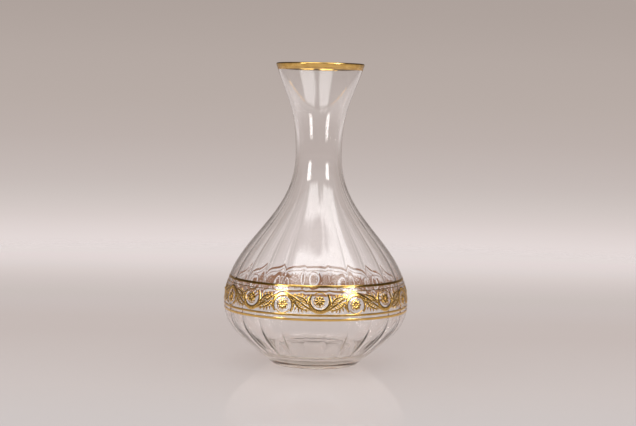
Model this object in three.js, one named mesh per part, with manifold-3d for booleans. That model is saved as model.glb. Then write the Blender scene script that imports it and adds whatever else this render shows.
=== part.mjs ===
// Carafe: a mouth-blown glass body with optic ribs inside, and a gilded lip, lines and scroll frieze.
// Millimetres, +Z up. The origin is the centre of the foot, on the table.
// Azimuths are measured at the axis, from -Y towards +X.

import * as THREE from 'three';
import { mergeVertices } from 'three/addons/utils/BufferGeometryUtils.js';
import { TessellateModifier } from 'three/addons/modifiers/TessellateModifier.js';
import Module from 'manifold-3d';

const wasm = await Module();
wasm.setup();

// Outside of the glass
const height = 270;
const lipRadius = 39.4;
const lipFlare = 16.2; // degrees off the vertical
const neckRadius = 20.6;
const neckHeight = 188.3;
const bellyRadius = 82.9;
const bellyHeight = 53.1;
const footRadius = 38.8;
const footSpread = 40.9; // degrees above the table

// How far each curve holds its direction, as a share of the rise or run that it makes
const footHold = 0.645;
const underBellyHold = 0.42;
const overBellyHold = 0.426;
const underNeckHold = 0.453;
const overNeckHold = 0.543;
const lipHold = 0.36;

// Thickness of the glass
const lipWall = 2;
const neckWall = 3;
const bellyWall = 2.6;
const heelWall = 5.1;
const floorThickness = 11;
const floorRadius = 30;
const footRingWidth = 5.5;
const puntHeight = 2.5;

// Optic ribs: shallow scallops pressed into the inside wall, which meet in sharp ridges
const fluteCount = 24;
const fluteDepth = 0.5;
const neckFluteDepth = 0.2;
const fluteFoot = 0.25; // where the ribs start, as a share of the curve from foot to belly

// Gilding: thicker than fired gold, with a small gap under it
const giltLift = 0.2;
const giltThickness = 0.3;
const lipGiltDrop = 3.6;
const lowerLineHeight = 49.5;
const lineWidth = 2.1;
const lineGap = 1.7;
const bottomBorderWidth = 3;
const topBorderWidth = 1.4;

// Scroll frieze: a wave of stem that cradles a rosette in each hollow, with leaves between them
const firstRoundel = 2.5; // degrees
const rosetteRadius = 4.8;
const petalDepth = 1.1;
const petalCount = 8;
const clearRing = 2.1;
const cradleWidth = 2.7;
const cradleTaper = 0.6; // share of the width that is lost towards the tips
const cradleOpening = 50; // degrees each side of the border
const stemWidth = 2.2;
const roundelSwing = 2.2;
const ornamentGap = 0.5;

// Leaves: a scalloped band about a spine that rises from the stem and leans away from the rosette
const leafWidth = 6;
const leafLobes = 4;
const leafScallop = 0.22;
const leafTip = 0.3;
const leafHeel = 0.08; // how far into its swell a leaf starts
const leafShoulder = 0.8; // under 1 draws the widest place towards the root
const leafRoot = 0.75; // how far down the stem's wave a leaf is rooted
const leafLean = 0.9;
const leafRise = 1.2;
const leafBend = 0.44; // where the spine turns over, as a share of the way to the tip
const looseLeafStart = 0.15; // a leaf that stands free of the stem begins this far along

// Fineness of the facets
const facetsPerFlute = 2;
const undersideSteps = 6;
const shoulderSteps = 10;
const mouthSteps = 4;
const lipSteps = 2;
const longestEdge = 8;

const cradleRadius = rosetteRadius + clearRing + cradleWidth / 2;
const stemSwing = cradleRadius - roundelSwing;
const naturalPitch = 2 * (cradleRadius + cradleWidth / 2 + ornamentGap + leafWidth);
const girth = 2 * Math.PI * bellyRadius;
const roundelCount = 2 * Math.round(girth / naturalPitch / 2);
const pitch = girth / roundelCount;

const bottomBorderHeight = lowerLineHeight + lineWidth + lineGap;
const friezeHeight = bottomBorderHeight + bottomBorderWidth;
const roundelReach = rosetteRadius + clearRing;
const friezeMiddle = friezeHeight + roundelReach + roundelSwing - ornamentGap;
const topBorderHeight = friezeMiddle + roundelSwing + roundelReach + ornamentGap;
const upperLineHeight = topBorderHeight + topBorderWidth + lineGap;

const facets = fluteCount * facetsPerFlute;
const flare = THREE.MathUtils.degToRad(lipFlare);
const spread = THREE.MathUtils.degToRad(footSpread);
const opening = THREE.MathUtils.degToRad(cradleOpening);

const glass = new THREE.MeshStandardMaterial({
  color: 0xe9eceb,
  roughness: 0.03,
  metalness: 0,
  transparent: true,
  opacity: 0.35,
});
const gold = new THREE.MeshStandardMaterial({ color: 0xcc9a3c, roughness: 0.22, metalness: 1 });

// The outside is three curves that meet upright at the belly and at the neck
const foot = new THREE.Vector2(footRadius, 0);
const belly = new THREE.Vector2(bellyRadius, bellyHeight);
const neck = new THREE.Vector2(neckRadius, neckHeight);
const lip = new THREE.Vector2(lipRadius, height - (lipWall / 2) * (1 + Math.sin(flare)));

function raised(point, rise) {
  return new THREE.Vector2(point.x, point.y + rise);
}

function undersideCurve() {
  const hold = footHold * (bellyRadius - footRadius);
  const leave = new THREE.Vector2(foot.x + hold * Math.cos(spread), hold * Math.sin(spread));
  return new THREE.CubicBezierCurve(foot, leave, raised(belly, -underBellyHold * bellyHeight), belly);
}

function shoulderCurve() {
  const rise = neckHeight - bellyHeight;
  const leave = raised(belly, overBellyHold * rise);
  return new THREE.CubicBezierCurve(belly, leave, raised(neck, -underNeckHold * rise), neck);
}

function mouthCurve() {
  const rise = lip.y - neckHeight;
  const hold = lipHold * rise;
  const arrive = new THREE.Vector2(lip.x - hold * Math.sin(flare), lip.y - hold * Math.cos(flare));
  return new THREE.CubicBezierCurve(neck, raised(neck, overNeckHold * rise), arrive, lip);
}

const underside = undersideCurve();
const shoulder = shoulderCurve();
const mouth = mouthCurve();

// A place on the outside of the glass, and the direction square to it
function skin(curve, share) {
  const along = curve.getTangent(share);
  return { point: curve.getPoint(share), out: new THREE.Vector2(along.y, -along.x) };
}

function lifted(place, distance) {
  return place.point.clone().addScaledVector(place.out, distance);
}

function shareAtHeight(curve, level) {
  let low = 0;
  let high = 1;
  for (let step = 0; step < 30; step += 1) {
    const middle = (low + high) / 2;
    if (curve.getPoint(middle).y < level) {
      low = middle;
    } else {
      high = middle;
    }
  }
  return high;
}

function skinAtHeight(level) {
  const curve = level < bellyHeight ? underside : shoulder;
  return skin(curve, shareAtHeight(curve, level));
}

// Even steps along a curve from its start, without its end
function evenShares(curve, steps) {
  return Array.from({ length: steps }, (_, index) => curve.getUtoTmapping(index / steps, 0));
}

// The lip is a half round over the end of the wall
function lipArc(lift) {
  const top = skin(mouth, 1);
  const middle = lifted(top, -lipWall / 2);
  const up = mouth.getTangent(1);
  const points = [];
  for (let step = 0; step <= lipSteps; step += 1) {
    const turn = (Math.PI * step) / lipSteps;
    const point = middle.clone().addScaledVector(top.out, (lipWall / 2 + lift) * Math.cos(turn));
    points.push(point.addScaledVector(up, (lipWall / 2 + lift) * Math.sin(turn)));
  }
  return points;
}

// Walls and rib depths along the three curves
function undersideWall(share) {
  return bellyWall + (heelWall - bellyWall) * (1 - share) ** 2;
}

function undersideRib(share) {
  return fluteDepth * THREE.MathUtils.smoothstep(share, fluteFoot, 2 * fluteFoot);
}

function shoulderWall(share) {
  return THREE.MathUtils.lerp(bellyWall, neckWall, share);
}

function shoulderRib(share) {
  return THREE.MathUtils.lerp(fluteDepth, neckFluteDepth, share);
}

function mouthWall(share) {
  return THREE.MathUtils.lerp(neckWall, lipWall, share);
}

function mouthRib(share) {
  return neckFluteDepth * (1 - share);
}

const lipGiltShare = shareAtHeight(mouth, height - lipGiltDrop);

const mouthShares = [...evenShares(mouth, mouthSteps), lipGiltShare];

const courses = [
  { curve: underside, at: evenShares(underside, undersideSteps), wall: undersideWall, rib: undersideRib },
  { curve: shoulder, at: evenShares(shoulder, shoulderSteps), wall: shoulderWall, rib: shoulderRib },
  { curve: mouth, at: mouthShares, wall: mouthWall, rib: mouthRib },
];

function outsideStations() {
  const stations = [];
  for (const course of courses) {
    for (const share of course.at) {
      stations.push({ point: skin(course.curve, share).point, rib: 0 });
    }
  }
  return stations;
}

function insideStations() {
  const stations = [];
  for (const course of courses) {
    for (const share of course.at) {
      const point = lifted(skin(course.curve, share), -course.wall(share));
      if (course.curve !== underside || share > fluteFoot) {
        stations.push({ point, rib: course.rib(share) });
      }
    }
  }
  return stations.reverse();
}

// From the floor's middle out to where the ribs start
function floorStations() {
  const edge = skin(underside, fluteFoot);
  const wallFoot = lifted(edge, -undersideWall(fluteFoot));
  const along = underside.getTangent(fluteFoot);
  const drop = (wallFoot.y - floorThickness) / along.y;
  const corner = wallFoot.clone().addScaledVector(along, -drop);
  const floorEdge = new THREE.Vector2(floorRadius, floorThickness);
  const round = new THREE.QuadraticBezierCurve(wallFoot, corner, floorEdge);
  const centre = new THREE.Vector2(0, floorThickness);
  return [wallFoot, round.getPoint(0.5), floorEdge, centre].map((point) => ({ point, rib: 0 }));
}

// From the middle of the punt out to the ring that the carafe stands on
function puntStations() {
  const edge = footRadius - footRingWidth;
  const points = [
    new THREE.Vector2(0, puntHeight),
    new THREE.Vector2(edge / 2, puntHeight * 0.75),
    new THREE.Vector2(edge, 0),
  ];
  return points.map((point) => ({ point, rib: 0 }));
}

function closed(geometry) {
  geometry.deleteAttribute('normal');
  geometry.deleteAttribute('uv');
  const merged = mergeVertices(geometry);
  merged.computeVertexNormals();
  return merged;
}

// A turned shape: stations run from the axis and back to it, or close on themselves
function turned(stations) {
  const geometry = new THREE.LatheGeometry(stations.map((station) => station.point), facets);
  const position = geometry.getAttribute('position');
  for (let index = 0; index < position.count; index += 1) {
    const station = stations[index % stations.length];
    const facet = Math.floor(index / stations.length);
    const acrossFlute = (facet % facetsPerFlute) / facetsPerFlute - 0.5;
    const radius = station.point.x - station.rib * (2 * acrossFlute) ** 2;
    const azimuth = (2 * Math.PI * facet) / facets;
    position.setXYZ(index, radius * Math.sin(azimuth), station.point.y, radius * Math.cos(azimuth));
  }
  return closed(geometry.rotateX(Math.PI / 2));
}

function glassBody() {
  const lipStations = lipArc(0).map((point) => ({ point, rib: 0 }));
  return turned([
    ...puntStations(),
    ...outsideStations(),
    ...lipStations,
    ...insideStations(),
    ...floorStations(),
  ]);
}

// A ring of gilding between two lines of points, the inner face first
function giltRing(under, over) {
  const section = [...over, ...under.reverse(), over[0]];
  return turned(section.map((point) => ({ point, rib: 0 })));
}

function giltLine(level, width) {
  const levels = [level, level + width];
  const under = levels.map((z) => lifted(skinAtHeight(z), giltLift));
  const over = levels.map((z) => lifted(skinAtHeight(z), giltLift + giltThickness));
  return giltRing(under, over);
}

function lipGiltSide(lift) {
  const edge = skin(mouth, lipGiltShare);
  const inside = lifted(edge, -mouthWall(lipGiltShare) - lift);
  return [lifted(edge, lift), ...lipArc(lift), inside];
}

function lipGilding() {
  return giltRing(lipGiltSide(giltLift), lipGiltSide(giltLift + giltThickness));
}

// Flat ornament: x runs along the frieze, y up, and each part is a band about its spine
function band(spine, halfWidth, steps) {
  const left = [];
  const right = [];
  for (let step = 0; step <= steps; step += 1) {
    const share = step / steps;
    const along = spine.getTangent(share);
    const across = new THREE.Vector2(-along.y, along.x);
    left.push(spine.getPoint(share).addScaledVector(across, halfWidth(share)));
    right.push(spine.getPoint(share).addScaledVector(across, -halfWidth(share)));
  }
  return new THREE.Shape([...left, ...right.reverse()]);
}

function sheet(shape) {
  const geometry = closed(new THREE.ExtrudeGeometry(shape, { depth: giltThickness, bevelEnabled: false }));
  const vertProperties = new Float32Array(geometry.getAttribute('position').array);
  const triVerts = new Uint32Array(geometry.index.array);
  return new wasm.Manifold(new wasm.Mesh({ numProp: 3, vertProperties, triVerts }));
}

// The stem's wave, one cell long, lowest under a high roundel; flip is -1 over a low one
function stemSheet(flip) {
  const reach = pitch / 2 - ornamentGap / 2;
  const steps = 8;
  const points = [];
  for (let step = 0; step <= steps; step += 1) {
    const x = reach * ((2 * step) / steps - 1);
    const y = -roundelSwing - stemSwing * Math.cos((Math.PI * x) / pitch);
    points.push(new THREE.Vector2(x, flip * y));
  }
  return sheet(band(new THREE.SplineCurve(points), () => stemWidth / 2, steps));
}

// The cradle's arc about the rosette, open on the side of the border
function cradleSheet(flip) {
  const points = [];
  const steps = 10;
  for (let step = 0; step <= steps; step += 1) {
    const turn = Math.PI / 2 + opening + (2 * (Math.PI - opening) * step) / steps;
    points.push(new THREE.Vector2(cradleRadius * Math.cos(turn), flip * cradleRadius * Math.sin(turn)));
  }
  const taper = (share) => (cradleWidth / 2) * (1 - cradleTaper * (1 - Math.sin(Math.PI * share)));
  return sheet(band(new THREE.SplineCurve(points), taper, steps));
}

// A lobed leaf that fills the corner beside a cradle; side is 1 on the right and -1 on the left
function leafSheet(flip, side, start) {
  const root = cradleRadius + cradleWidth / 2 + ornamentGap;
  const tip = pitch - cradleRadius;
  const top = roundelReach - roundelSwing;
  const spine = new THREE.CubicBezierCurve(
    new THREE.Vector2(side * root, flip * -stemSwing * leafRoot),
    new THREE.Vector2(side * (root + leafLean), flip * leafRise),
    new THREE.Vector2(side * (root + tip) * leafBend, flip * (top - leafLean)),
    new THREE.Vector2(side * tip, flip * top),
  );
  const steps = leafLobes * 2;
  const points = [];
  for (let step = 0; step <= steps; step += 1) {
    points.push(spine.getPoint(start + ((1 - start) * step) / steps));
  }
  const lobes = (share) => {
    const swell = Math.sin(Math.PI * (leafHeel + (1 - leafHeel) * share ** leafShoulder));
    const scallop = 1 - leafScallop * (1 - Math.cos(2 * Math.PI * leafLobes * share));
    return leafTip + (leafWidth / 2) * swell * scallop;
  };
  return sheet(band(new THREE.SplineCurve(points), lobes, steps));
}

function rosetteSheet() {
  const points = [];
  const steps = petalCount * 3;
  for (let step = 0; step < steps; step += 1) {
    const turn = (2 * Math.PI * step) / steps;
    const radius = rosetteRadius - (petalDepth / 2) * (1 - Math.cos(petalCount * turn));
    points.push(new THREE.Vector2(radius * Math.cos(turn), radius * Math.sin(turn)));
  }
  return sheet(new THREE.Shape(points));
}

// Lays a flat ornament on the glass about the middle of its roundel
function laidOn(ornament, azimuth, level) {
  const flat = ornament.getMesh();
  let geometry = new THREE.BufferGeometry();
  geometry.setAttribute('position', new THREE.Float32BufferAttribute(flat.vertProperties, 3));
  geometry.setIndex(Array.from(flat.triVerts));
  geometry = new TessellateModifier(longestEdge, 6).modify(geometry);
  const position = geometry.getAttribute('position');
  for (let index = 0; index < position.count; index += 1) {
    const turn = azimuth + position.getX(index) / bellyRadius;
    const place = lifted(skinAtHeight(level + position.getY(index)), giltLift + position.getZ(index));
    position.setXYZ(index, place.x * Math.sin(turn), -place.x * Math.cos(turn), place.y);
  }
  return closed(geometry);
}

const carafe = new THREE.Group();

function add(name, geometry, material) {
  const mesh = new THREE.Mesh(geometry, material);
  mesh.name = name;
  carafe.add(mesh);
}

add('glass_body', glassBody(), glass);
add('lip_gilding', lipGilding(), gold);
add('upper_gilt_line', giltLine(upperLineHeight, lineWidth), gold);
add('lower_gilt_line', giltLine(lowerLineHeight, lineWidth), gold);
add('frieze_top_border', giltLine(topBorderHeight, topBorderWidth), gold);
add('frieze_bottom_border', giltLine(bottomBorderHeight, bottomBorderWidth), gold);

for (let cell = 0; cell < roundelCount; cell += 1) {
  const number = String(cell + 1).padStart(2, '0');
  const flip = cell % 2 === 0 ? 1 : -1;
  const azimuth = THREE.MathUtils.degToRad(firstRoundel) + (2 * Math.PI * cell) / roundelCount;
  const level = friezeMiddle + flip * roundelSwing;
  const scroll = stemSheet(flip).add(cradleSheet(flip)).add(leafSheet(flip, 1, 0));
  add(`scroll_${number}`, laidOn(scroll, azimuth, level), gold);
  add(`rosette_${number}`, laidOn(rosetteSheet(), azimuth, level), gold);
  add(`leaf_spray_${number}`, laidOn(leafSheet(flip, -1, looseLeafStart), azimuth, level), gold);
}

export default carafe;
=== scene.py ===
import bisect
import math
import bpy
from mathutils import Matrix, Vector
from mathutils.geometry import interpolate_bezier


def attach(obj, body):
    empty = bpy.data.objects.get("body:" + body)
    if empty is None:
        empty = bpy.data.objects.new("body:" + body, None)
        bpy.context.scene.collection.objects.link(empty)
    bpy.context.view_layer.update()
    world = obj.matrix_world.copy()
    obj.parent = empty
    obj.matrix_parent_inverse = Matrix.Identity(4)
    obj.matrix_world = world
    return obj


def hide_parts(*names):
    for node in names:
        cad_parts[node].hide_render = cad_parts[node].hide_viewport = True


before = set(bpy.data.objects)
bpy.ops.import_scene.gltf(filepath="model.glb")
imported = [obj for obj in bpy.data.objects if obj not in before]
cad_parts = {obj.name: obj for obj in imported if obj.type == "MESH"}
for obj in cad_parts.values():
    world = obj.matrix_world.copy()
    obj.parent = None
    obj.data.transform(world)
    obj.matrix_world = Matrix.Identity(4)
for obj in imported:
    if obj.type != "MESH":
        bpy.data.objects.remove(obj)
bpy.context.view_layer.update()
print("frame loaded,", len(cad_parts), "nodes")

mm = 0.001
joinWithin = 1e-7  # metres: points this near are one


# helpers

def linear(colour):  # sRGB hex to linear
    parts = [int(colour[i:i + 2], 16) / 255 for i in (1, 3, 5)]
    return [c / 12.92 if c <= 0.04045 else ((c + 0.055) / 1.055) ** 2.4 for c in parts] + [1]


def addNode(tree, kind, settings=None, links=None):
    node = tree.nodes.new(kind)
    for key, value in (settings or {}).items():
        if key == "tones":  # a colour ramp's stops, as (place, colour)
            stops = node.color_ramp.elements
            for stop, (place, colour) in zip(stops, (value[0], value[-1])):
                stop.position = place
                stop.color = linear(colour)
            for place, colour in value[1:-1]:
                stops.new(place).color = linear(colour)
        elif isinstance(key, int) or key in node.inputs:
            node.inputs[key].default_value = value
        else:
            setattr(node, key, value)
    for key, source in (links or {}).items():
        tree.links.new(source, node.inputs[key])
    return node


def newMaterial(name):
    material = bpy.data.materials.new(name)
    material.use_nodes = True
    tree = material.node_tree
    tree.nodes.clear()
    output = addNode(tree, "ShaderNodeOutputMaterial")
    return material, tree, output


def deselectAll():
    if bpy.context.object and bpy.context.object.mode != "OBJECT":
        bpy.ops.object.mode_set(mode="OBJECT")
    bpy.ops.object.select_all(action="DESELECT")


def pick(*objects):
    deselectAll()
    for item in objects:
        item.select_set(True)
    bpy.context.view_layer.objects.active = objects[0]


def applyModifier(item, kind, settings):
    pick(item)
    modifier = item.modifiers.new(kind.title(), kind)
    for key, value in settings.items():
        setattr(modifier, key, value)
    bpy.ops.object.modifier_apply(modifier=modifier.name)


def mendNormals(item):
    pick(item)
    bpy.ops.object.mode_set(mode="EDIT")
    bpy.ops.mesh.select_all(action="SELECT")
    bpy.ops.mesh.remove_doubles(threshold=joinWithin)
    bpy.ops.mesh.normals_make_consistent(inside=False)
    bpy.ops.object.mode_set(mode="OBJECT")


# camera, at the photograph's angle

cameraValues = {
    "place": (0.00046, -1.3, 0.2335),
    "pitch": 0.0751,  # radians down
    "roll": 0.0203,
    "lens": 81.75,
    "sensor": 36,
    "sight": 100,  # metres
}


def makeCamera(values):
    bpy.ops.object.camera_add()
    camera = bpy.context.object
    down = Matrix.Rotation(math.pi / 2 - values["pitch"], 4, "X")
    roll = Matrix.Rotation(values["roll"], 4, "Z")
    camera.matrix_world = Matrix.Translation(values["place"]) @ (down @ roll)
    camera.data.lens = values["lens"]
    camera.data.sensor_width = values["sensor"]
    camera.data.clip_end = values["sight"]
    bpy.context.scene.camera = camera


makeCamera(cameraValues)
print("camera made")


# stage: a round pale table top whose edge fades into the room

stageValues = {
    "sides": 128,
    "radius": 1.35,
    "fadeFrom": 0.98,
    "fadeTo": 1.2,
    "mirroredFrom": 0.35,  # what the carafe mirrors of it fades sooner
    "mirroredTo": 0.55,
    "ior": 1.49,
    "gloss": 0.45,  # share of the mirror that a polished sheet would give
    "glossRoughness": 0.025,
    "front": -0.4,
    "back": 1.2,
    # painted shading: the table's colour is darkest just behind the carafe and lightens towards the back,
    # standing in for how the light falls on it; from the front to the back, in metres from the carafe's axis
    "tones": [
        (-0.25, "#cfc7c5"), (-0.13, "#d0c6c3"), (0.15, "#cbbfbb"), (0.25, "#ccc0bc"), (0.35, "#cfc4c1"),
        (0.45, "#d1c7c3"), (0.56, "#d8cdca"), (0.62, "#ddd2cf"), (0.68, "#e2d7d4"), (0.74, "#e6dcda"),
        (0.8, "#ebe0de"), (0.86, "#eee2e1"), (0.92, "#efe5e3"), (1.05, "#efe5e4"),
    ],
}


# cast acrylic sheet with a satin polish: it mirrors softly, and more towards the back
def satinAcrylic(values):
    material, tree, output = newMaterial("satin_acrylic_table")
    place = addNode(tree, "ShaderNodeTexCoord")
    away = addNode(tree, "ShaderNodeVectorMath", {"operation": "LENGTH"}, {0: place.outputs["Object"]})
    parts = addNode(tree, "ShaderNodeSeparateXYZ", {}, {0: place.outputs["Object"]})
    depth = addNode(tree, "ShaderNodeMapRange", {"From Min": values["front"], "From Max": values["back"]},
                    {"Value": parts.outputs["Y"]})
    reach = values["back"] - values["front"]
    tones = [((y - values["front"]) / reach, colour) for y, colour in values["tones"]]
    # painted shading: this ramp darkens the table round the carafe and lightens it towards the back, in
    # place of light and shade
    paintedShadeRamp = addNode(tree, "ShaderNodeValToRGB", {"tones": tones}, {"Fac": depth.outputs[0]})
    matt = addNode(tree, "ShaderNodeBsdfDiffuse", {}, {"Color": paintedShadeRamp.outputs["Color"]})
    shine = addNode(tree, "ShaderNodeBsdfGlossy", {"Roughness": values["glossRoughness"]})
    edge = addNode(tree, "ShaderNodeFresnel", {"IOR": values["ior"]})
    share = addNode(tree, "ShaderNodeMath", {"operation": "MULTIPLY", 1: values["gloss"]},
                    {0: edge.outputs[0]})
    top = addNode(tree, "ShaderNodeMixShader", {},
                  {"Fac": share.outputs[0], 1: matt.outputs[0], 2: shine.outputs[0]})
    fade = addNode(tree, "ShaderNodeMapRange",
                   {"From Min": values["fadeFrom"], "From Max": values["fadeTo"],
                    "interpolation_type": "SMOOTHSTEP"},
                   {"Value": away.outputs["Value"]})
    near = addNode(tree, "ShaderNodeMapRange",
                   {"From Min": values["mirroredFrom"], "From Max": values["mirroredTo"]},
                   {"Value": away.outputs["Value"]})
    path = addNode(tree, "ShaderNodeLightPath")
    mirrored = addNode(tree, "ShaderNodeMath", {"operation": "MULTIPLY"},
                       {0: near.outputs[0], 1: path.outputs["Is Glossy Ray"]})
    gone = addNode(tree, "ShaderNodeMath", {"operation": "MAXIMUM"},
                   {0: fade.outputs[0], 1: mirrored.outputs[0]})
    clear = addNode(tree, "ShaderNodeBsdfTransparent")
    mix = addNode(tree, "ShaderNodeMixShader", {},
                  {"Fac": gone.outputs[0], 1: top.outputs[0], 2: clear.outputs[0]})
    tree.links.new(mix.outputs[0], output.inputs["Surface"])
    return material


def makeTable(values):
    deselectAll()
    bpy.ops.mesh.primitive_circle_add(vertices=values["sides"], radius=values["radius"], fill_type="NGON")
    table = bpy.context.object
    table.name = "table"
    table.data.materials.append(satinAcrylic(values))
    return table


table = makeTable(stageValues)
print("table made")


# lights: two tall soft boxes low on each side of the camera, two broad ones above, and a grey room

lightValues = {
    "aim": (0, 0, 0.13),
    "distance": 1.5,
    # azimuth from the camera's side towards the right and elevation, both in degrees;
    # soft is how much of its width fades at each edge
    "boxes": [
        {"name": "tallSoftBox_left", "azimuth": -45, "elevation": 17, "across": 16, "up": 23,
         "radiance": 10, "soft": 0.2},
        {"name": "tallSoftBox_right", "azimuth": 45, "elevation": 17, "across": 16, "up": 21,
         "radiance": 10, "soft": 0.2},
        {"name": "highSoftBox_left", "azimuth": -20, "elevation": 49, "across": 39, "up": 42,
         "radiance": 3.2, "soft": 0.2},
        {"name": "highSoftBox_right", "azimuth": 46, "elevation": 51, "across": 45, "up": 42,
         "radiance": 3.2, "soft": 0.2},
    ],
    "plain": "#b4b4b4",  # what lights the table
    "plainStrength": 2.5,
    # what the camera sees beyond the table, by the sine of the angle above the horizon
    "backdrop": [
        (-0.3, "#cbc1bd"), (-0.15, "#d8cecb"), (-0.104, "#e4dad8"), (-0.097, "#e4dad8"),
        (-0.09, "#e2d7d5"), (-0.08, "#d9cecb"), (-0.066, "#cec4c0"), (-0.052, "#c6bbb7"),
        (-0.0245, "#bdb1ac"), (0.003, "#b8aca6"), (0.031, "#b5a9a3"), (0.051, "#b1a59f"),
        (0.068, "#aea29c"), (0.15, "#b3a8a3"), (0.3, "#d2cac6"), (0.5, "#f2eeeb"), (1.0, "#fbf9f7"),
    ],
    # what the gilding and the glass mirror: a room that is dim above the table's level
    "room": [
        (-1.0, "#efe5e1"), (-0.45, "#d3c9c5"), (-0.15, "#a89e99"), (0.02, "#857b76"), (0.15, "#5a524d"),
        (0.3, "#423b37"), (0.6, "#4c4540"), (1.0, "#8a817d"),
    ],
    "turns": 24,  # how often light may turn back inside the thick foot before it leaves
}


# woven diffusion cloth, stretched on a frame: brightest in the middle, fading towards the frame
def hangCloth(light, soft):
    light.data.use_nodes = True
    tree = light.data.node_tree
    tree.nodes.clear()
    place = addNode(tree, "ShaderNodeNewGeometry")
    parts = addNode(tree, "ShaderNodeSeparateXYZ", {}, {0: place.outputs["Parametric"]})
    shares = []
    for axis in ("X", "Y"):
        off = addNode(tree, "ShaderNodeMath", {"operation": "SUBTRACT", 1: 0.5}, {0: parts.outputs[axis]})
        reach = addNode(tree, "ShaderNodeMath", {"operation": "ABSOLUTE"}, {0: off.outputs[0]})
        shares.append(addNode(tree, "ShaderNodeMapRange",
                              {"From Min": 0.5, "From Max": 0.5 - soft, "interpolation_type": "SMOOTHSTEP"},
                              {"Value": reach.outputs[0]}))
    share = addNode(tree, "ShaderNodeMath", {"operation": "MULTIPLY"},
                    {0: shares[0].outputs[0], 1: shares[1].outputs[0]})
    cloth = addNode(tree, "ShaderNodeEmission", {}, {"Strength": share.outputs[0]})
    addNode(tree, "ShaderNodeOutputLight", {}, {"Surface": cloth.outputs[0]})


def makeSoftBox(box, values):
    azimuth, elevation = math.radians(box["azimuth"]), math.radians(box["elevation"])
    level = math.cos(elevation)
    away = Vector((math.sin(azimuth) * level, -math.cos(azimuth) * level, math.sin(elevation)))
    bpy.ops.object.light_add(type="AREA")
    light = bpy.context.object
    light.name = box["name"]
    light.location = Vector(values["aim"]) + away * values["distance"]
    light.rotation_euler = away.to_track_quat("Z", "Y").to_euler()
    light.data.shape = "RECTANGLE"
    light.data.size = 2 * values["distance"] * math.tan(math.radians(box["across"] / 2))
    light.data.size_y = 2 * values["distance"] * math.tan(math.radians(box["up"] / 2))
    light.data.energy = box["radiance"] * math.pi * light.data.size * light.data.size_y
    light.visible_diffuse = False
    hangCloth(light, box["soft"])
    return light


def makeRoom(values):
    world = bpy.data.worlds.new("room")
    bpy.context.scene.world = world
    world.use_nodes = True
    tree = world.node_tree
    tree.nodes.clear()
    output = addNode(tree, "ShaderNodeOutputWorld")
    place = addNode(tree, "ShaderNodeTexCoord")
    parts = addNode(tree, "ShaderNodeSeparateXYZ", {}, {0: place.outputs["Generated"]})
    height = addNode(tree, "ShaderNodeMapRange", {"From Min": -1.0, "From Max": 1.0},
                     {"Value": parts.outputs["Z"]})
    tones = {side: [((z + 1) / 2, colour) for z, colour in values[side]] for side in ("backdrop", "room")}
    backdrop = addNode(tree, "ShaderNodeValToRGB", {"tones": tones["backdrop"]}, {"Fac": height.outputs[0]})
    room = addNode(tree, "ShaderNodeValToRGB", {"tones": tones["room"]}, {"Fac": height.outputs[0]})
    plain = addNode(tree, "ShaderNodeBackground",
                    {"Color": linear(values["plain"]), "Strength": values["plainStrength"]})
    seen = addNode(tree, "ShaderNodeBackground", {}, {"Color": backdrop.outputs["Color"]})
    mirrored = addNode(tree, "ShaderNodeBackground", {}, {"Color": room.outputs["Color"]})
    path = addNode(tree, "ShaderNodeLightPath")
    unseen = addNode(tree, "ShaderNodeMixShader", {},
                     {"Fac": path.outputs["Is Glossy Ray"], 1: plain.outputs[0], 2: mirrored.outputs[0]})
    through = addNode(tree, "ShaderNodeMath", {"operation": "MAXIMUM"},
                      {0: path.outputs["Is Camera Ray"], 1: path.outputs["Is Transmission Ray"]})
    mix = addNode(tree, "ShaderNodeMixShader", {},
                  {"Fac": through.outputs[0], 1: unseen.outputs[0], 2: seen.outputs[0]})
    tree.links.new(mix.outputs[0], output.inputs["Surface"])


def makeLights(values, table):
    # the table doesn't mirror the soft boxes
    lit = bpy.data.collections.new("what_the_soft_boxes_light")
    lit.objects.link(table)
    lit.collection_objects[0].light_linking.link_state = "EXCLUDE"
    for box in values["boxes"]:
        makeSoftBox(box, values).light_linking.receiver_collection = lit
    makeRoom(values)
    scene = bpy.context.scene
    scene.view_settings.view_transform = "Standard"
    scene.cycles.max_bounces = values["turns"]
    scene.cycles.glossy_bounces = values["turns"]
    scene.cycles.transmission_bounces = values["turns"]


makeLights(lightValues, table)
print("lights made")


# glass: a turned wall, drawn as one line from the punt up the outside, over the lip and down the inside

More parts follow.
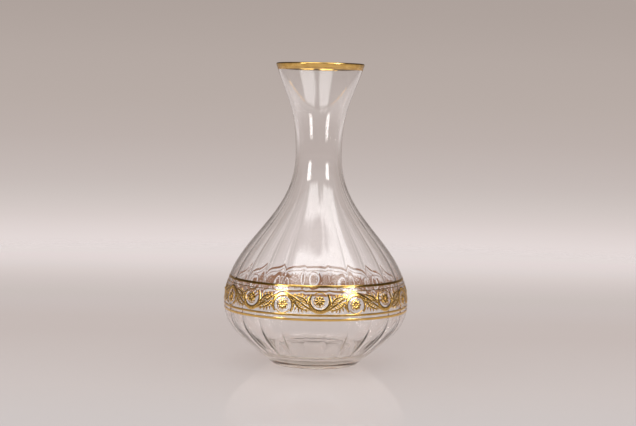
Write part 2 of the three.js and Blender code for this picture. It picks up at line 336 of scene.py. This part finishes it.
glassValues = {
    "around": 336,
    "perSpan": 20,
    # each station: name, place (r, z), handle back, handle on; millimetres
    "stations": [
        ("punt", (0, 2.5), (0, 0), (15, 0)),
        ("puntEdge", (32.4, 0.15), (-8, 1.2), (0.4, -0.1)),
        ("ring", (33.6, 0), (-0.4, 0), (1, 0)),
        ("ringEdge", (37.9, 0), (-1, 0), (0.7, 0)),
        ("heel", (39.6, 0.75), (-0.6, -0.5), (20.6, 17.9)),
        ("belly", (82.9, 53.1), (0, -22.3), (0, 57.6)),
        ("neck", (20.6, 188.3), (0, -61.25), (0, 43.7)),
        ("lipOut", (39.4, 268.72), (-8.08, -27.8), (0.154, 0.53)),
        ("lipTop", (38.72, 270), (0.53, -0.154), (-0.53, 0.154)),
        ("lipIn", (37.48, 269.28), (0.154, 0.53), (-8.38, -28.85)),
        ("neckIn", (17.6, 188.3), (0, 44.05), (0, -62.1)),
        ("bellyIn", (80.3, 53.1), (0, 55.9), (0, -16.95)),
        ("ribFoot", (52.26, 16.15), (15.02, 11.99), (-5.5, -4.39)),
        ("floorEdge", (33, 11), (9, 0), (-8, 0)),
        ("floor", (0, 10.6), (9, 0.1), (0, 0)),
    ],
    "ribs": 24,
    "ribDepth": 0.7,  # millimetres at the deepest
    "ribSharpness": 4,  # how near the arris the depth gathers
    "ribTurn": 0.5,  # an arris stands half a flute's width from the front
    # from the station so many places along, the share of that depth
    "ribShare": [(9, 0), (10, 0.05), (10.45, 0.17), (10.65, 0.45), (11, 0.9), (11.3, 1), (11.7, 0.8),
                 (12, 0.3), (13, 0)],
    "tint": "#fcfbfb",
    "ior": 1.52,
    "waves": 45,  # per metre, so each is about 22 mm across
    "waveDetail": 3.0,
    "waveStrength": 0.25,
    "waveHeight": 0.2,  # millimetres
    "depthColour": "#d2c6b4",
    "depthDensity": 10,  # per metre of glass
}


def drawProfile(values):
    deselectAll()
    bpy.ops.curve.primitive_bezier_curve_add()
    drawing = bpy.context.object
    drawing.data.dimensions = "3D"
    drawing.data.resolution_u = values["perSpan"]
    points = drawing.data.splines[0].bezier_points
    points.add(len(values["stations"]) - len(points))
    for point, (_, place, back, on) in zip(points, values["stations"]):
        point.handle_left_type = point.handle_right_type = "FREE"
        point.co = Vector((place[0], 0, place[1])) * mm
        point.handle_left = point.co + Vector((back[0], 0, back[1])) * mm
        point.handle_right = point.co + Vector((on[0], 0, on[1])) * mm
    bpy.ops.object.convert(target="MESH")
    return bpy.context.object


def weighRibs(body, values):  # along the drawn line, each point's share of the deepest rib
    group = body.vertex_groups.new(name="ribs")
    marks = [(round(place * values["perSpan"]), share) for place, share in values["ribShare"]]
    for (first, shareFirst), (last, shareLast) in zip(marks, marks[1:]):
        for index in range(first, last + 1):
            part = (index - first) / (last - first)
            group.add([index], shareFirst + (shareLast - shareFirst) * part, "REPLACE")


def pressRibs(body, values):  # each flute is hollow, with a sharp arris on either side
    group = body.vertex_groups["ribs"]
    for vertex in body.data.vertices:
        if vertex.groups and vertex.groups[0].weight > 0:
            turn = math.atan2(vertex.co.x, -vertex.co.y) / (2 * math.pi) * values["ribs"] + values["ribTurn"]
            share = abs(2 * (turn % 1) - 1) ** values["ribSharpness"]
            group.add([vertex.index], vertex.groups[0].weight * share, "REPLACE")
    applyModifier(body, "DISPLACE", {"strength": values["ribDepth"] * mm, "mid_level": 0,
                                     "direction": "NORMAL", "vertex_group": "ribs"})


def revolve(item):  # about the upright axis
    applyModifier(item, "SCREW", {"steps": glassValues["around"], "render_steps": glassValues["around"],
                                  "use_merge_vertices": True, "merge_threshold": joinWithin})
    mendNormals(item)


def makeGlass(values):
    body = drawProfile(values)
    body.name = "blown_glass_body"
    weighRibs(body, values)
    revolve(body)
    pressRibs(body, values)
    pick(body)
    bpy.ops.object.shade_smooth()
    return body


# soda-lime glass, blown and fire-polished: no colour of its own, and a faint waviness that bends
# what is seen through it
def clearGlass(values):
    material, tree, output = newMaterial("clear_blown_glass")
    place = addNode(tree, "ShaderNodeTexCoord")
    waves = addNode(tree, "ShaderNodeTexNoise", {"Scale": values["waves"], "Detail": values["waveDetail"]},
                    {"Vector": place.outputs["Object"]})
    bump = addNode(tree, "ShaderNodeBump",
                   {"Strength": values["waveStrength"], "Distance": values["waveHeight"] * mm},
                   {"Height": waves.outputs["Fac"]})
    shader = addNode(tree, "ShaderNodeBsdfPrincipled",
                     {"Base Color": linear(values["tint"]), "Roughness": 0.0, "IOR": values["ior"],
                      "Transmission Weight": 1.0},
                     {"Normal": bump.outputs["Normal"]})
    # light reaches the table through clear glass, so there it leaves only a pale shadow
    path = addNode(tree, "ShaderNodeLightPath")
    lighting = addNode(tree, "ShaderNodeMath", {"operation": "MAXIMUM"},
                       {0: path.outputs["Is Shadow Ray"], 1: path.outputs["Is Diffuse Ray"]})
    clear = addNode(tree, "ShaderNodeBsdfTransparent")
    mix = addNode(tree, "ShaderNodeMixShader", {},
                  {"Fac": lighting.outputs[0], 1: shader.outputs[0], 2: clear.outputs[0]})
    tree.links.new(mix.outputs[0], output.inputs["Surface"])
    # the thick foot is a little darker and warmer than the thin wall
    depth = addNode(tree, "ShaderNodeVolumeAbsorption",
                    {"Color": linear(values["depthColour"]), "Density": values["depthDensity"]})
    tree.links.new(depth.outputs[0], output.inputs["Volume"])
    return material


glassBody = makeGlass(glassValues)
glassBody.data.materials.append(clearGlass(glassValues))
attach(glassBody, "root")
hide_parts("glass_body")
print("glass made,", len(glassBody.data.polygons), "faces")


# gilding: burnished gold fired on the glass, drawn flat in millimetres and laid on the outside

giltValues = {
    "sink": 0.03,  # the film's underside is this far in the glass
    "friezeMiddle": 64.7,
    "swing": 1.8,  # roundels stand this far above and below the middle by turns
    "cells": 16,
    "firstAzimuth": 2.5,
    "pitch": 32.55,
    "tones": [(0.3, "#dab062"), (0.7, "#f0c97b")],
    "pools": 160,  # per metre: the gold is thicker and thinner every 6 mm or so
    "poolDetail": 1.0,
    "strokes": 900,  # per metre: brush marks of about 1 mm, coarser than the real 0.3 mm, so that they show
    "strokeDetail": 2.0,
    "strokeStrength": 0.5,
    "strokeHeight": 0.05,  # millimetres
    "roughness": (0.08, 0.2),
    "underside": {"colour": "#a06b3e", "metal": 0.6, "roughness": 0.5},
    "facesGlass": -0.5,  # cosine to the outward direction, below which a face is underside
    "ringCrease": 50,  # degrees
    "reliefCrease": 60,
    "outsidePoints": 200,  # in each span of the outside
}

stations = {name: (Vector(place), Vector(back), Vector(on))
            for name, place, back, on in glassValues["stations"]}


def spanPoints(start, end, steps):  # points along the drawn line between two stations
    (first, _, on), (last, back, _) = stations[start], stations[end]
    knots = [first, first + on, last + back, last]
    return [point.to_2d() for point in interpolate_bezier(*[knot.to_3d() for knot in knots], steps)]


outside = []  # from heel to lip, as (height, radius)
for start, end in (("heel", "belly"), ("belly", "neck"), ("neck", "lipOut")):
    outside += [(point.y, point.x) for point in spanPoints(start, end, giltValues["outsidePoints"])]


def skinAt(height, lift):  # radius and height of a point that stands lift millimetres off the glass
    index = min(max(bisect.bisect(outside, (height, 0)), 1), len(outside) - 1)
    (z0, r0), (z1, r1) = outside[index - 1], outside[index]
    if z1 - z0 < 1e-6:  # two spans meet here and share the point
        (z0, r0), (z1, r1) = outside[index - 2], outside[index]
    radius = r0 + (r1 - r0) * (height - z0) / (z1 - z0)
    slope = Vector((z1 - z0, r0 - r1)).normalized()
    return radius + slope.x * lift, height + slope.y * lift


# bright gold, brushed on, fired at 520 degrees and burnished: a thin metal film that mirrors softly
# and keeps the brush's faint unevenness
def burnishedGold(values):
    material, tree, output = newMaterial("burnished_fired_gold")
    place = addNode(tree, "ShaderNodeTexCoord")
    strokes = addNode(tree, "ShaderNodeTexNoise",
                      {"Scale": values["strokes"], "Detail": values["strokeDetail"]},
                      {"Vector": place.outputs["Object"]})
    pools = addNode(tree, "ShaderNodeTexNoise", {"Scale": values["pools"], "Detail": values["poolDetail"]},
                    {"Vector": place.outputs["Object"]})
    tone = addNode(tree, "ShaderNodeValToRGB", {"tones": values["tones"]}, {"Fac": pools.outputs["Fac"]})
    low, high = values["roughness"]
    polish = addNode(tree, "ShaderNodeMapRange", {"To Min": low, "To Max": high},
                     {"Value": strokes.outputs["Fac"]})
    bump = addNode(tree, "ShaderNodeBump",
                   {"Strength": values["strokeStrength"], "Distance": values["strokeHeight"] * mm},
                   {"Height": strokes.outputs["Fac"]})
    shader = addNode(tree, "ShaderNodeBsdfPrincipled", {"Metallic": 1.0},
                     {"Base Color": tone.outputs["Color"], "Roughness": polish.outputs[0],
                      "Normal": bump.outputs["Normal"]})
    tree.links.new(shader.outputs[0], output.inputs["Surface"])
    return material


# the side of the gold that is fired on to the glass: matt and brown, it shows through the wall
def goldUnderside(values):
    material, tree, output = newMaterial("fired_gold_underside")
    shader = addNode(tree, "ShaderNodeBsdfPrincipled",
                     {"Base Color": linear(values["colour"]), "Metallic": values["metal"],
                      "Roughness": values["roughness"]})
    tree.links.new(shader.outputs[0], output.inputs["Surface"])
    return material


gold = burnishedGold(giltValues)
underside = goldUnderside(giltValues["underside"])


def finishGilding(piece, name, node):
    piece.name = name
    piece.data.name = name
    piece.data.materials.clear()
    piece.data.materials.append(gold)
    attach(piece, "root")
    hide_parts(node)


def dullUnderside(piece):  # the faces that lie against the outside of the glass
    piece.data.materials.append(underside)
    for face in piece.data.polygons:
        out = Vector((face.center.x, face.center.y, 0)).normalized()
        face.material_index = 1 if face.normal.dot(out) < giltValues["facesGlass"] else 0


def turnSection(points):  # a closed ring from a section of (radius, height) points
    deselectAll()
    bpy.ops.mesh.primitive_circle_add(vertices=len(points), radius=mm)
    ring = bpy.context.object
    for vertex, (radius, height) in zip(ring.data.vertices, points):
        vertex.co = Vector((radius, 0, height)) * mm
    revolve(ring)
    bpy.ops.object.shade_smooth_by_angle(angle=math.radians(giltValues["ringCrease"]))
    return ring


lineValues = {
    "lines": [  # piece, node, from and to
        ("upperGiltLine", "upper_gilt_line", 77.6, 79.7),
        ("lowerGiltLine", "lower_gilt_line", 49.5, 51.6),
        ("friezeTopBorder", "frieze_top_border", 74.5, 75.2),
        ("friezeBottomBorder", "frieze_bottom_border", 53.4, 55.3),
    ],
    "thick": 0.1,
    "steps": 12,
    "flatness": 12,  # the higher, the nearer to its edges a line is flat
}


def makeGiltLines(values):
    for name, node, low, high in values["lines"]:
        over = []
        for step in range(values["steps"] + 1):
            share = step / values["steps"]
            lift = values["thick"] * (1 - (2 * share - 1) ** values["flatness"])
            over.append(skinAt(low + (high - low) * share, lift))
        under = [skinAt(height, -giltValues["sink"]) for height in (high, (low + high) / 2, low)]
        ring = turnSection(over + under)
        finishGilding(ring, name, node)
        dullUnderside(ring)


makeGiltLines(lineValues)
print("gilt lines made")


lipValues = {
    # from the outside over the lip to the inside, and how finely each span is followed
    "spans": [
        ("neck", "lipOut", 160),
        ("lipOut", "lipTop", 8),
        ("lipTop", "lipIn", 8),
        ("lipIn", "neckIn", 160),
    ],
    "outerDrop": 4.2,
    "innerDrop": 5.8,
    "thick": 0.1,
    "thinning": 2,  # points over which it thins out at each edge
}


def makeLipGilding(values):
    line = []
    for start, end, steps in values["spans"]:
        line += spanPoints(start, end, steps)[:-1]
    top = max(point.y for point in line)
    peak = next(i for i, point in enumerate(line) if point.y == top)
    outer, inner = top - values["outerDrop"], top - values["innerDrop"]
    kept = [point for i, point in enumerate(line) if point.y > (outer if i < peak else inner)]
    last = len(kept) - 1
    over, under = [], []
    for index, point in enumerate(kept):
        along = (kept[min(index + 1, last)] - kept[max(index - 1, 0)]).normalized()
        out = Vector((along.y, -along.x))
        share = min(index, last - index, values["thinning"]) / values["thinning"]
        over.append(tuple(point + out * values["thick"] * share))
        under.append(tuple(point - out * giltValues["sink"]))
    finishGilding(turnSection(over + under[::-1]), "lipGilding", "lip_gilding")


makeLipGilding(lipValues)
print("lip gilding made")


# frieze ornament: low relief in strokes that swell and taper, with beads, drawn about a roundel's middle

reliefValues = {
    "strokeRounding": 3,
    "beadSides": 8,
    "beadRings": 6,
    "beadLevel": 0.8,  # share of the relief's height
    "beadSquash": 0.6,
}

scrollValues = {
    "steps": 32,
    "stemSwing": 7.5,
    "stemHalf": 1.0,
    "stemGap": 0.25,  # to the next cell's
    "arcs": [  # radius, from and to in degrees, half width, share of it at the tips
        (9.0, 140, 400, 1.9, 0.5),
        (7.3, 35, 145, 0.5, 0.8),
        (5.1, 110, 330, 0.42, 0.7),
    ],
    "beads": (9.1, 152, 388, 10.5, 0.5),  # radius, from, to, step, size
    "film": (0.17, 0.3),  # the relief's height and how fast it gets there
}

leafValues = {
    "knots": [(10.2, -5.0), (11.0, 1.2), (15.2, 3.8), (24.3, 4.7)],
    "steps": 40,
    "freeFrom": 0.1,  # the leaf that stands free of the stem begins this far along
    "midribHalf": (0.25, 0.75),  # half width without its swelling, and the swelling
    "midribSwell": (0.1, 0.98),
    "midribFullness": 0.8,
    "lobes": 6,
    "lobeFrom": 0.04,  # the first lobe's place along the midrib
    "lobeSpan": 0.8,  # from the first to the last
    "lobeCrowding": 0.8,
    "lobeSize": (0.16, 1.0),
    "lobeSteps": 7,
    "lobeReach": 3.7,
    "lobeSpread": 0.8,
    "lobeSweep": (0.3, 2),  # how far forward its root lies, and its tip beyond that
    "lobeCurl": 1.5,
    "lobeHalf": (0.2, 0.58),
    "lobeSwell": (0.15, 0.95),
    "film": (0.3, 0.7),
}

rosetteValues = {
    "petals": 8,
    "petalSteps": 7,
    "petalFrom": 1.2,
    "petalLength": 3.3,
    "petalHalf": (0.3, 1.15),
    "petalSwell": (0.12, 0.88),
    "petalFullness": 1.3,
    "heart": 1.2,
    "film": (0.34, 0.7),
}


def swelling(share, ends):  # the height of an arch that is cut off at its ends
    low, high = ends
    return math.sin(math.pi * (low + (high - low) * share))


def drawStrokes(lines):  # round tapering strokes along lines of (x, y, half width)
    deselectAll()
    bpy.ops.curve.primitive_bezier_curve_add()
    drawing = bpy.context.object
    data = drawing.data
    data.splines.clear()
    data.dimensions = "3D"
    data.bevel_depth = mm
    data.bevel_resolution = reliefValues["strokeRounding"]
    data.use_fill_caps = True
    for line in lines:
        spline = data.splines.new("POLY")
        spline.points.add(len(line) - 1)
        for point, (x, y, half) in zip(spline.points, line):
            point.co = (x * mm, y * mm, 0, 1)
            point.radius = half
    bpy.ops.object.convert(target="MESH")
    return bpy.context.object


def addBead(x, y, level, size):
    deselectAll()
    bpy.ops.mesh.primitive_uv_sphere_add(segments=reliefValues["beadSides"],
                                         ring_count=reliefValues["beadRings"],
                                         radius=size * mm, location=(x * mm, y * mm, level * mm))
    bpy.ops.transform.resize(value=(1, 1, reliefValues["beadSquash"]))
    bpy.ops.object.transform_apply(location=True, rotation=True, scale=True)
    return bpy.context.object


def emboss(lines, film, beads=()):  # strokes pressed to a low relief, with beads on it
    tall, rise = film
    relief = drawStrokes(lines)
    for vertex in relief.data.vertices:
        over = vertex.co.z / mm
        over = tall * (1 - math.exp(-over / rise)) if over > 0 else -giltValues["sink"]
        vertex.co.z = over * mm
    pick(relief, *[addBead(x, y, tall * reliefValues["beadLevel"], size) for x, y, size in beads])
    if beads:
        bpy.ops.object.join()
    mendNormals(relief)
    return relief


# a copy of the relief, wrapped on the outside about a roundel's middle
def layOnGlass(relief, azimuth, level):
    pick(relief)
    bpy.ops.object.duplicate()
    piece = bpy.context.object
    widest = max(place[0] for _, place, _, _ in glassValues["stations"])
    for vertex in piece.data.vertices:
        x, y, lift = (part / mm for part in vertex.co)
        radius, height = skinAt(level + y, lift)
        around = azimuth + x / widest
        vertex.co = Vector((radius * math.sin(around), -radius * math.cos(around), height)) * mm
    pick(piece)
    bpy.ops.object.shade_smooth_by_angle(angle=math.radians(giltValues["reliefCrease"]))
    return piece


def stemLine(flip, values):
    reach = giltValues["pitch"] / 2 - values["stemGap"]
    line = []
    for step in range(values["steps"] + 1):
        x = reach * (2 * step / values["steps"] - 1)
        wave = values["stemSwing"] * math.cos(math.pi * x / giltValues["pitch"])
        line.append((x, flip * (-giltValues["swing"] - wave), values["stemHalf"]))
    return line


def arcLine(flip, radius, start, end, half, tips, steps):
    line = []
    for step in range(steps + 1):
        share = step / steps
        around = math.radians(start + (end - start) * share)
        swell = tips + (1 - tips) * math.sin(math.pi * share)
        line.append((radius * math.cos(around), flip * radius * math.sin(around), half * swell))
    return line


def scrollLines(flip, values):
    return [stemLine(flip, values)] + [arcLine(flip, *arc, values["steps"]) for arc in values["arcs"]]


def beadRow(flip, radius, start, end, step, size):
    beads = []
    for index in range(int((end - start) / step) + 1):
        around = math.radians(start + step * index)
        beads.append((radius * math.cos(around), flip * radius * math.sin(around), size))
    return beads


# acanthus: a midrib, with lobes that sweep forward on both sides
def leafLines(flip, side, start, values):
    knots = [Vector((side * x, flip * y, 0)) for x, y in values["knots"]]
    points = interpolate_bezier(*knots, values["steps"])[int(start * values["steps"]):]
    last = len(points) - 1
    thin, swell = values["midribHalf"]
    midrib = []
    for index in range(0, len(points), 2):
        half = thin + swell * swelling(index / last, values["midribSwell"]) ** values["midribFullness"]
        midrib.append((points[index].x, points[index].y, half))
    lines = [midrib]
    for lobe in range(values["lobes"]):
        share = values["lobeFrom"] + values["lobeSpan"] * lobe / (values["lobes"] - 1)
        index = int(share * last)
        along = (points[min(index + 1, last)] - points[max(index - 1, 0)]).normalized()
        size = swelling(share ** values["lobeCrowding"], values["lobeSize"])
        for hand in (-1, 1):
            across = Vector((-along.y, along.x, 0)) * hand
            lines.append(lobeLine(points[index], along, across, size, values))
    return lines


def lobeLine(root, along, across, size, values):
    start, sweep = values["lobeSweep"]
    thin, swell = values["lobeHalf"]
    line = []
    for step in range(values["lobeSteps"] + 1):
        part = step / values["lobeSteps"]
        out = across * values["lobeReach"] * size * part ** values["lobeSpread"]
        point = root + out + along * (start + sweep * part ** values["lobeCurl"])
        half = thin + swell * swelling(part, values["lobeSwell"]) * (0.5 + 0.5 * size)
        line.append((point.x, point.y, half))
    return line


def rosetteLines(values):
    thin, swell = values["petalHalf"]
    steps = values["petalSteps"]
    lines = []
    for petal in range(values["petals"]):
        around = 2 * math.pi * petal / values["petals"]
        line = []
        for step in range(steps + 1):
            out = values["petalFrom"] + values["petalLength"] * step / steps
            half = thin + swell * swelling(step / steps, values["petalSwell"]) ** values["petalFullness"]
            line.append((out * math.cos(around), out * math.sin(around), half))
        lines.append(line)
    return lines


def makeFrieze():
    scrolls, leaves = {}, {}
    for flip in (1, -1):
        beads = beadRow(flip, *scrollValues["beads"])
        scroll = emboss(scrollLines(flip, scrollValues), scrollValues["film"], beads)
        leaf = emboss(leafLines(flip, 1, 0, leafValues), leafValues["film"])
        pick(scroll, leaf)
        bpy.ops.object.join()
        scrolls[flip] = scroll
        leaves[flip] = emboss(leafLines(flip, -1, leafValues["freeFrom"], leafValues), leafValues["film"])
    rosette = emboss(rosetteLines(rosetteValues), rosetteValues["film"], [(0, 0, rosetteValues["heart"])])
    for cell in range(giltValues["cells"]):
        number = str(cell + 1).zfill(2)
        flip = 1 if cell % 2 == 0 else -1
        azimuth = math.radians(giltValues["firstAzimuth"] + 360 * cell / giltValues["cells"])
        level = giltValues["friezeMiddle"] + flip * giltValues["swing"]
        kinds = [(scrolls[flip], "scrollGilding_", "scroll_"), (leaves[flip], "leafGilding_", "leaf_spray_"),
                 (rosette, "rosetteGilding_", "rosette_")]
        for relief, name, node in kinds:
            piece = layOnGlass(relief, azimuth, level)
            finishGilding(piece, name + number, node + number)
            dullUnderside(piece)
    pick(rosette, *scrolls.values(), *leaves.values())
    bpy.ops.object.delete()


makeFrieze()
print("frieze made")
